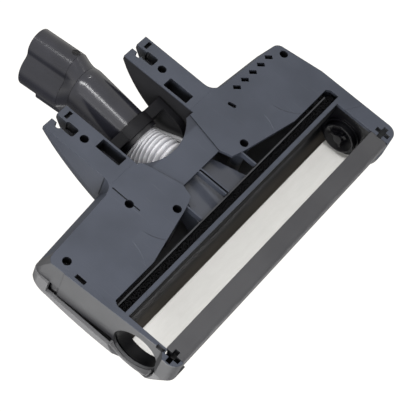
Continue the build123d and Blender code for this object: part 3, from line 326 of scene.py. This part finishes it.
def new_tree(name, sizes):
    """A Geometry Nodes tree with an input for each size: the tree, its inputs as wires and a bare wire."""
    tree = bpy.data.node_groups.new(name, "GeometryNodeTree")
    tree.interface.new_socket("Geometry", in_out="OUTPUT", socket_type="NodeSocketGeometry")
    for size, value in sizes.items():
        kind = "NodeSocketFloat" if isinstance(value, float) else "NodeSocketInt"
        kind = "NodeSocketVector" if isinstance(value, Vector) else kind
        tree.interface.new_socket(size, in_out="INPUT", socket_type=kind)
    inputs = tree.nodes.new("NodeGroupInput")
    wires = {size: Wire(tree, inputs.outputs[size]) for size in sizes}
    return tree, wires, Wire(tree, None)


def settle(piece):
    """Turns the piece's modifiers into its mesh."""
    ready = piece.evaluated_get(bpy.context.evaluated_depsgraph_get())
    mesh = bpy.data.meshes.new_from_object(ready)
    piece.modifiers.clear()
    piece.data = mesh
    mesh.name = piece.name


def grow(name, tree, sizes, shape, material):
    """Ends the tree with this shape in this material, and runs it at these sizes into a plain mesh object."""
    shape = shape.node("GeometryNodeRealizeInstances", None, {"Geometry": shape})
    shape = shape.node("GeometryNodeSetMaterial", None, {"Geometry": shape, "Material": material})
    tree.links.new(shape.socket, tree.nodes.new("NodeGroupOutput").inputs[0])
    piece = bpy.data.objects.new(name, bpy.data.meshes.new(name))
    bpy.context.collection.objects.link(piece)
    maker = piece.modifiers.new("grow", "NODES")
    maker.node_group = tree
    for item in tree.interface.items_tree:
        if item.in_out == "INPUT":
            maker[item.identifier] = sizes[item.name]
    settle(piece)
    return piece


tuft_sizes = {
    "Length": strip_size.x - 2 * tuft_radius,
    "Width": strip_size.y - 2 * tuft_side_gap,
    "Across": tuft_rows,
    "Along": int(strip_size.x / tuft_pitch),
    "Tuft radius": tuft_radius,
    "Tuft length": strip_size.z,
    "Middle": (strip_low + strip_high) / 2,
}
tree, size, start = new_tree("bristle_strip", tuft_sizes)
spread = {"Size X": size["Length"], "Size Y": size["Width"]}
spread |= {"Vertices X": size["Along"], "Vertices Y": size["Across"]}
bed = start.node("GeometryNodeMeshGrid", None, spread)
vector = {"data_type": "FLOAT_VECTOR"}
drift = {0: tuft_drift_low, 1: tuft_drift_high, 8: tuft_drift_seed}
drift = start.node("FunctionNodeRandomValue", vector, drift)
bed = start.node("GeometryNodeSetPosition", None, {"Geometry": bed, "Offset": drift})
waist = {"Radius Top": size["Tuft radius"], "Radius Bottom": size["Tuft radius"]}
waist |= {"Vertices": tuft_sides, "Depth": size["Tuft length"]}
tuft = start.node("GeometryNodeMeshCone", None, waist)
root = start.node("ShaderNodeCombineXYZ", None, {"Z": size["Tuft length"] * -0.5})
tuft = start.node("GeometryNodeTransform", None, {"Geometry": tuft, "Translation": root})
lean = {0: tuft_lean_low, 1: tuft_lean_high, 8: tuft_lean_seed}
lean = start.node("FunctionNodeRandomValue", vector, lean)
tufts = start.node("GeometryNodeInstanceOnPoints", None, {"Points": bed, "Instance": tuft, "Rotation": lean})
tufts = start.node("GeometryNodeRealizeInstances", None, {"Geometry": tufts})
seat = start.node("ShaderNodeCombineXYZ", None, {"Z": size["Tuft length"] * 0.5 - tuft_shy})
seat = start.node("ShaderNodeVectorMath", {"operation": "ADD"}, {0: seat, 1: size["Middle"]})
tufts = start.node("GeometryNodeTransform", None, {"Geometry": tufts, "Translation": seat})
bristles = grow("bristle_strip", tree, tuft_sizes, tufts, bristle)
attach(bristles, "head")
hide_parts("scraper_strip")

# Suction duct and hose collar: the funnel from the chamber to the hose, and the ring that clips the hose on.
# Smooth bluish polypropylene, polished by the air and dust that pass through; the rings are satin black.
duct_dark, duct_pale, duct_crease = (0.05, 0.055, 0.072), (0.07, 0.077, 0.098), 0.006
duct_sheen = {"roughness": 0.18, "grain": 0.03, "edge": 0.0006, "hollow": duct_crease, "shine": 0.5}
duct, *_ = moulded("duct_smooth", duct_dark, duct_pale, **duct_sheen)
paint(duct, "suction_duct")
collar_dark, collar_pale = (0.007, 0.007, 0.009), (0.013, 0.013, 0.016)
collar, *_ = moulded("collar_satin", collar_dark, collar_pale, roughness=0.4, grain=0.08, edge=0.0004)
paint(collar, "hose_collar", "hose_cuff")

# Hose: a short corrugated hose from the duct to the cuff on the yoke.
# Blown from pale grey EVA; light is painted pale on its ridges and shade grey in its valleys.
hose_low, hose_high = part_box("hose")
hose_clear, duct_z = 0.0002, 0.021
hose_from = Vector((0, hose_low.y + hose_clear, duct_z))
hose_to = Vector((0, 0.0143, 0.0261))
hose_wall, hose_pull, hose_pull_rise = 0.0012, 0.010, 0.001
hose_inset = 0.0001
hose_steps, hose_round = 145, 56
hose_valley_shade, hose_ridge_light, hose_glow = (0.3, 0.3, 0.33), (0.74, 0.74, 0.77), (1.0, 0.9, 0.85)
swivel_drop = math.radians(9)
swivel = Vector((0, math.cos(swivel_drop), -math.sin(swivel_drop)))
hose_sizes = {
    "From": hose_from,
    "From pull": hose_from + Vector((0, hose_pull, hose_pull_rise)),
    "To pull": hose_to - hose_pull * swivel,
    "To": hose_to,
    "Radius": (hose_high.x - hose_low.x) / 2 - hose_inset,
    "Ridge depth": 0.0024,
    "Ridges": 8.0,
}
hose_skin, surface, place = Wire.material("hose_eva", Subsurface_Weight=0.15, Subsurface_Scale=0.004)
surface.inputs["Subsurface Radius"].default_value = hose_glow
crest = place.node("ShaderNodeAttribute", {"attribute_name": "crest"}, None, "Fac")
# Painted light and shade: the ridges pale and the valleys grey, with a little random tone.
ridge_light_and_tone = crest * 0.8 + 0.2 * place.noise(120, 3)
ridge_light_and_tone.tint(hose_valley_shade, hose_ridge_light).feed(surface, "Base Color")
(0.5 - 0.15 * crest).feed(surface, "Roughness")
place.noise(900, 2).bump(0.1, 0.0002).feed(surface, "Normal")


def bent_path(start, size, count):
    """A smooth curve of count points from the input From to the input To, drawn out towards their pulls."""
    ends = {"Start": size["From"], "Start Handle": size["From pull"]}
    ends |= {"End Handle": size["To pull"], "End": size["To"]}
    path = start.node("GeometryNodeCurvePrimitiveBezierSegment", None, {"Resolution": count} | ends)
    return start.node("GeometryNodeResampleCurve", None, {"Curve": path, "Count": count})


tree, size, start = new_tree("hose_corrugation", hose_sizes)
path = bent_path(start, size, hose_steps)
along = start.node("GeometryNodeSplineParameter")
wave = abs(start.math("SINE", along * size["Ridges"] * math.pi))
path = start.node("GeometryNodeStoreNamedAttribute", None, {"Geometry": path, "Name": "crest", "Value": wave})
swell = size["Radius"] - size["Ridge depth"] * (1 - wave)
ring = start.node("GeometryNodeCurvePrimitiveCircle", None, {"Resolution": hose_round, "Radius": 1.0})
skin = start.node("GeometryNodeCurveToMesh", None, {"Curve": path, "Profile Curve": ring, "Scale": swell})
hose = grow("corrugated_hose", tree, hose_sizes, skin, hose_skin)
wall = hose.modifiers.new("wall", "SOLIDIFY")
wall.thickness = hose_wall
wall.offset = -1
settle(hose)
hose.data.shade_smooth()
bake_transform(hose)
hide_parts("hose")

# Power lead: the round cable beside the hose, which feeds the motor from the contacts in the neck.
# Light grey PVC, slightly greasy, held at both ends.
lead_low, lead_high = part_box("power_lead")
lead_radius, lead_steps, lead_round = 0.0016, 41, 20
lead_past, lead_end_z = 0.0018, 0.0314
lead_from_pull, lead_to_pull = Vector((-0.0018, 0.008, -0.002)), 0.012
lead_grey, lead_pale = (0.28, 0.28, 0.29), (0.4, 0.4, 0.41)
lead_x = lead_high.x - lead_radius
lead_from = Vector((lead_x, lead_low.y, duct_z))
lead_to = Vector((lead_x, lead_high.y + lead_past, lead_end_z))
lead_sizes = {
    "From": lead_from,
    "From pull": lead_from + lead_from_pull,
    "To pull": lead_to - lead_to_pull * swivel,
    "To": lead_to,
    "Radius": lead_radius,
}
lead_skin, surface, place = Wire.material("lead_pvc")
place.noise(200, 3).tint(lead_grey, lead_pale).feed(surface, "Base Color")
(0.35 + 0.15 * place.noise(300, 2)).feed(surface, "Roughness")
place.noise(1500, 1).bump(0.08, 0.0001).feed(surface, "Normal")
tree, size, start = new_tree("lead_sweep", lead_sizes)
path = bent_path(start, size, lead_steps)
ring = {"Resolution": lead_round, "Radius": size["Radius"]}
ring = start.node("GeometryNodeCurvePrimitiveCircle", None, ring)
skin = start.node("GeometryNodeCurveToMesh", None, {"Curve": path, "Profile Curve": ring, "Fill Caps": True})
lead = grow("lead_cable", tree, lead_sizes, skin, lead_skin)
lead.data.shade_smooth()
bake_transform(lead)
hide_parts("power_lead")

# Screws: pan-head screws deep in their wells, and the one in the neck's tube.
# Black-oxide steel, bright where the driver has slipped.
oxide_black, oxide_bright = (0.012, 0.012, 0.013), (0.2, 0.2, 0.2)
oxide, surface, place = Wire.material("screw_oxide", Metallic=1.0)
slip = place.noise(700, 3).above(0.62, 0.75)
slip.tint(oxide_black, oxide_bright).feed(surface, "Base Color")
(0.42 - 0.15 * slip).feed(surface, "Roughness")
place.noise(1800, 1).bump(0.1, 0.0001, place.softened(0.0002)).feed(surface, "Normal")
paint(oxide, "housing_screws", "neck_screw")

# Keel plug: the small black plug beside the keel of the neck.
# Soft black rubber with a moulded ring and a dimple, pressed into its hole from below.
plug_at = Vector((-0.00968, 0.08475, 0.00376))
plug_out = Vector((-0.334, 0.147, -0.931)).normalized()
plug_turns, plug_merge, plug_crease = 32, 0.00001, math.radians(40)
plug_profile = [
    (0.0000, 0.0001),
    (0.0007, 0.0001),
    (0.0010, 0.0003),
    (0.0018, 0.0003),
    (0.0020, -0.0001),
    (0.0024, -0.0001),
    (0.0026, 0.0003),
    (0.0030, 0.0002),
    (0.0031, -0.0009),
    (0.0000, -0.0009),
]
plug_black, plug_grey = (0.003, 0.003, 0.004), (0.008, 0.008, 0.009)
plug, surface, place = Wire.material("plug_rubber", Specular_IOR_Level=0.3)
place.noise(700, 2).tint(plug_black, plug_grey).feed(surface, "Base Color")
(0.5 + 0.2 * place.noise(900, 2)).feed(surface, "Roughness")
place.noise(2200, 1).bump(0.1, 0.0001, place.softened(0.0001)).feed(surface, "Normal")
plug_mesh = bpy.data.meshes.new("keel_plug")
shape = bmesh.new()
outline = [shape.verts.new((radius, 0, height)) for radius, height in plug_profile]
edges = [shape.edges.new(pair) for pair in zip(outline, outline[1:])]
turn = {"axis": (0, 0, 1), "cent": (0, 0, 0), "angle": 2 * math.pi, "steps": plug_turns}
bmesh.ops.spin(shape, geom=outline + edges, use_merge=True, **turn)
bmesh.ops.remove_doubles(shape, verts=shape.verts, dist=plug_merge)
bmesh.ops.recalc_face_normals(shape, faces=shape.faces)
shape.transform(Matrix.Translation(plug_at) @ plug_out.to_track_quat("Z", "Y").to_matrix().to_4x4())
shape.to_mesh(plug_mesh)
shape.free()
plug_mesh.materials.append(plug)
plug_mesh.shade_smooth()
plug_mesh.set_sharp_from_angle(angle=plug_crease)
keel_plug = bpy.data.objects.new("keel_plug", plug_mesh)
bpy.context.collection.objects.link(keel_plug)
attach(keel_plug, "neck")

# Pivot: the yoke between the arms, which carries the hose cuff and the swivelling elbow, on two steel pins.
# Black nylon with a satin sheen; the bushes are oil-filled sintered bronze.
yoke_dark, yoke_pale = (0.004, 0.004, 0.005), (0.008, 0.008, 0.01)
yoke, *_ = moulded("yoke_nylon", yoke_dark, yoke_pale, roughness=0.5, grain=0.1, edge=0.0005, shine=0.15)
paint(yoke, "yoke")
steel_dark, steel_pale = (0.3, 0.3, 0.31), (0.46, 0.46, 0.47)
pin, surface, place = Wire.material("pin_steel", Metallic=1.0)
turned = place.stretched(2200, 40, 40).noise(1, 2)
turned.tint(steel_dark, steel_pale).feed(surface, "Base Color")
(0.22 + 0.2 * turned).feed(surface, "Roughness")
turned.bump(0.08, 0.0001, place.softened(0.0002)).feed(surface, "Normal")
paint(pin, "pivot_pins", "motor_shaft", "motor_pulley")
pore_brown, bronze_gold = (0.12, 0.08, 0.04), (0.42, 0.3, 0.16)
bronze, surface, place = Wire.material("bush_bronze", Metallic=1.0)
pores = place.noise(1600, 2)
pores.above(0.35, 0.6).tint(pore_brown, bronze_gold).feed(surface, "Base Color")
(0.6 - 0.2 * pores).feed(surface, "Roughness")
pores.bump(0.3, 0.0001, place.softened(0.0002)).feed(surface, "Normal")
paint(bronze, "pivot_bushes", "hub_bearing")

# Drive: the wall, hub and belt at the closed end, and the motor that sits behind the chamber.
# Black acetal, a rubber belt and a zinc-plated motor can.
hub_dark, hub_pale = (0.003, 0.003, 0.004), (0.007, 0.007, 0.008)
hub, *_ = moulded("hub_acetal", hub_dark, hub_pale, roughness=0.3, grain=0.06, edge=0.0004, shine=0.2)
paint(hub, "drive_hub", "hub_pulley", "drive_wall", "motor_cradle")
belt_dark, belt_pale = (0.012, 0.012, 0.012), (0.03, 0.03, 0.03)
belt, surface, place = Wire.material("belt_rubber")
place.noise(500, 3).tint(belt_dark, belt_pale).feed(surface, "Base Color")
(0.65 + 0.2 * place.noise(300, 2)).feed(surface, "Roughness")
ribs = place.stretched(200, 1900, 1900).noise(1, 2)
ribs.bump(0.3, 0.0002, place.softened(0.0002)).feed(surface, "Normal")
paint(belt, "drive_belt")
zinc_dark, zinc_pale = (0.4, 0.41, 0.42), (0.6, 0.61, 0.62)
can, surface, place = Wire.material("motor_zinc", Metallic=1.0)
bloom = place.noise(160, 4)
bloom.tint(zinc_dark, zinc_pale).feed(surface, "Base Color")
(0.28 + 0.2 * bloom).feed(surface, "Roughness")
bloom.bump(0.05, 0.0002, place.softened(0.0004)).feed(surface, "Normal")
paint(can, "motor")

# Neck: the elbow on the yoke, its collar and the two-lobed tube that takes the wand and the contacts.
# Charcoal ABS with an even polish, glossier than the sole; the contacts are brass in a black holder.
neck_dark, neck_pale = (0.013, 0.0135, 0.019), (0.021, 0.0215, 0.029)
neck, surface, place, *_ = moulded(
    "neck_abs", neck_dark, neck_pale, roughness=0.2, grain=0.003, edge=0.00005, shine=0.5
)
(0.2 + 0.03 * place.noise(30, 0)).feed(surface, "Roughness")
paint(neck, "elbow", "neck_collar", "neck_tube")
holder_dark, holder_pale = (0.01, 0.01, 0.011), (0.018, 0.018, 0.02)
block, *_ = moulded("contact_holder", holder_dark, holder_pale, roughness=0.45, grain=0.1, edge=0.0003)
paint(block, "contact_block")
brass_dark, brass_pale = (0.55, 0.4, 0.16), (0.75, 0.58, 0.28)
gilt, surface, place = Wire.material("contact_brass", Metallic=1.0)
place.noise(600, 2).tint(brass_dark, brass_pale).feed(surface, "Base Color")
(0.2 + 0.2 * place.noise(900, 2)).feed(surface, "Roughness")
place.noise(2000, 1).bump(0.06, 0.0001, place.softened(0.0002)).feed(surface, "Normal")
paint(gilt, "contact_pins")

# Release button: the red cap on top of the neck that frees the wand.
# Gloss ABS in one colour, moulded as a cap that slides in its pocket.
red_dark, red_bright, red_crease = (0.34, 0.008, 0.01), (0.45, 0.014, 0.014), 0.002
red_sheen = {"roughness": 0.25, "grain": 0.04, "edge": 0.0005, "hollow": red_crease, "shine": 0.5}
red, *_ = moulded("button_red", red_dark, red_bright, **red_sheen)
paint(red, "release_button")

# Camera: the photograph looks up at the sole from the open end of the chamber, about a metre away.
# Its place and long lens were fitted to features of the sole that mirror each other.
camera_at = (0.5415, -0.2014, -0.8261)
look = Vector((-0.5270, 0.1481, 0.8369)).normalized()
lift = Vector((-0.5989, 0.6299, -0.4889))
side = look.cross(lift).normalized()
lift = side.cross(look)
camera = bpy.data.objects.new("camera", bpy.data.cameras.new("camera"))
camera.data.lens = 131.07
camera.data.sensor_width = 36
camera.data.clip_end = 20
camera.matrix_world = Matrix.Translation(camera_at) @ Matrix((side, lift, -look)).transposed().to_4x4()
bpy.context.collection.objects.link(camera)
bpy.context.scene.camera = camera

# Stage: a pale paper floor just under the sole, which is clear from below, before a white sky.
# Lamps under the floor light the sole and draw the line along the neck, and two above light the cover.
floor_reach, floor_z, floor_glow = 6.0, -0.001, 0.3
floor_grey = (0.82, 0.82, 0.82, 1)
floor_mesh = bpy.data.meshes.new("floor")
corners = [(a * floor_reach, b * floor_reach, floor_z) for a, b in ((-1, -1), (1, -1), (1, 1), (-1, 1))]
floor_mesh.from_pydata(corners, [], [(0, 1, 2, 3)])
floor = bpy.data.objects.new("floor", floor_mesh)
bpy.context.collection.objects.link(floor)
paper, surface, place = Wire.material("floor_paper", Roughness=0.9, Emission_Strength=floor_glow)
surface.inputs["Base Color"].default_value = floor_grey
surface.inputs["Emission Color"].default_value = (1, 1, 1, 1)
below = place.node("ShaderNodeNewGeometry", None, None, "Backfacing")
clear = place.node("ShaderNodeBsdfTransparent")
card = Wire(place.tree, surface.outputs[0])
mixed = place.node("ShaderNodeMixShader", None, {0: below, 1: card, 2: clear})
mixed.feed(place.tree.nodes["Material Output"], "Surface")
floor_mesh.materials.append(paper)
floor.visible_shadow = False
floor.visible_diffuse = False
floor.visible_glossy = False
floor.visible_transmission = False

neck_run = Vector((0.1, 0.59, 0.18))
for name, spot, power, width, length in (
    ("key", (1.15, -0.4, -0.5), 15, 0.7, 0.7),
    ("sole", (0.6, 0.2, -1.0), 1.6, 1.0, 1.0),
    ("neck line", (0.25, 0.26, -0.88), 5, 0.1, 0.6),
    ("window glint", (-0.39, 0.23, -0.66), 0.4, 0.06, 0.06),
    ("rim", (0.5, -0.15, 1.1), 5, 0.8, 0.8),
    ("top", (-0.3, -1.2, 0.6), 12, 1.0, 1.0),
):
    lamp = bpy.data.objects.new(name, bpy.data.lights.new(name, "AREA"))
    lamp.data.energy = power
    lamp.data.shape = "RECTANGLE"
    lamp.data.size = width
    lamp.data.size_y = length
    away = Vector(spot).normalized()
    across = neck_run.cross(away).normalized()
    facing = Matrix((across, away.cross(across), away)).transposed().to_4x4()
    lamp.matrix_world = Matrix.Translation(spot) @ facing
    bpy.context.collection.objects.link(lamp)

sky_low, sky_high, sky_mirrored, sky_fade = 0.45, 0.12, 0.5, (0.2, 0.7)
sky_white = (1, 0.985, 0.955, 1)
world = bpy.data.worlds.new("studio")
bpy.context.scene.world = world
world.use_nodes = True
tree = world.node_tree
sky = tree.nodes["Background"]
rays = tree.nodes.new("ShaderNodeLightPath").outputs
seen = Wire(tree, rays["Is Camera Ray"])
mirrored = Wire(tree, rays["Is Glossy Ray"]) + Wire(tree, rays["Is Transmission Ray"])
direction = Wire(tree, tree.nodes.new("ShaderNodeTexCoord").outputs["Generated"])
overhead = direction.part("Z").above(*sky_fade)
around = (sky_low + sky_mirrored * mirrored) * (1 - overhead) + sky_high * overhead
(around + seen).feed(sky, "Strength")
sky.inputs["Color"].default_value = sky_white
bpy.context.scene.view_settings.view_transform = "Standard"
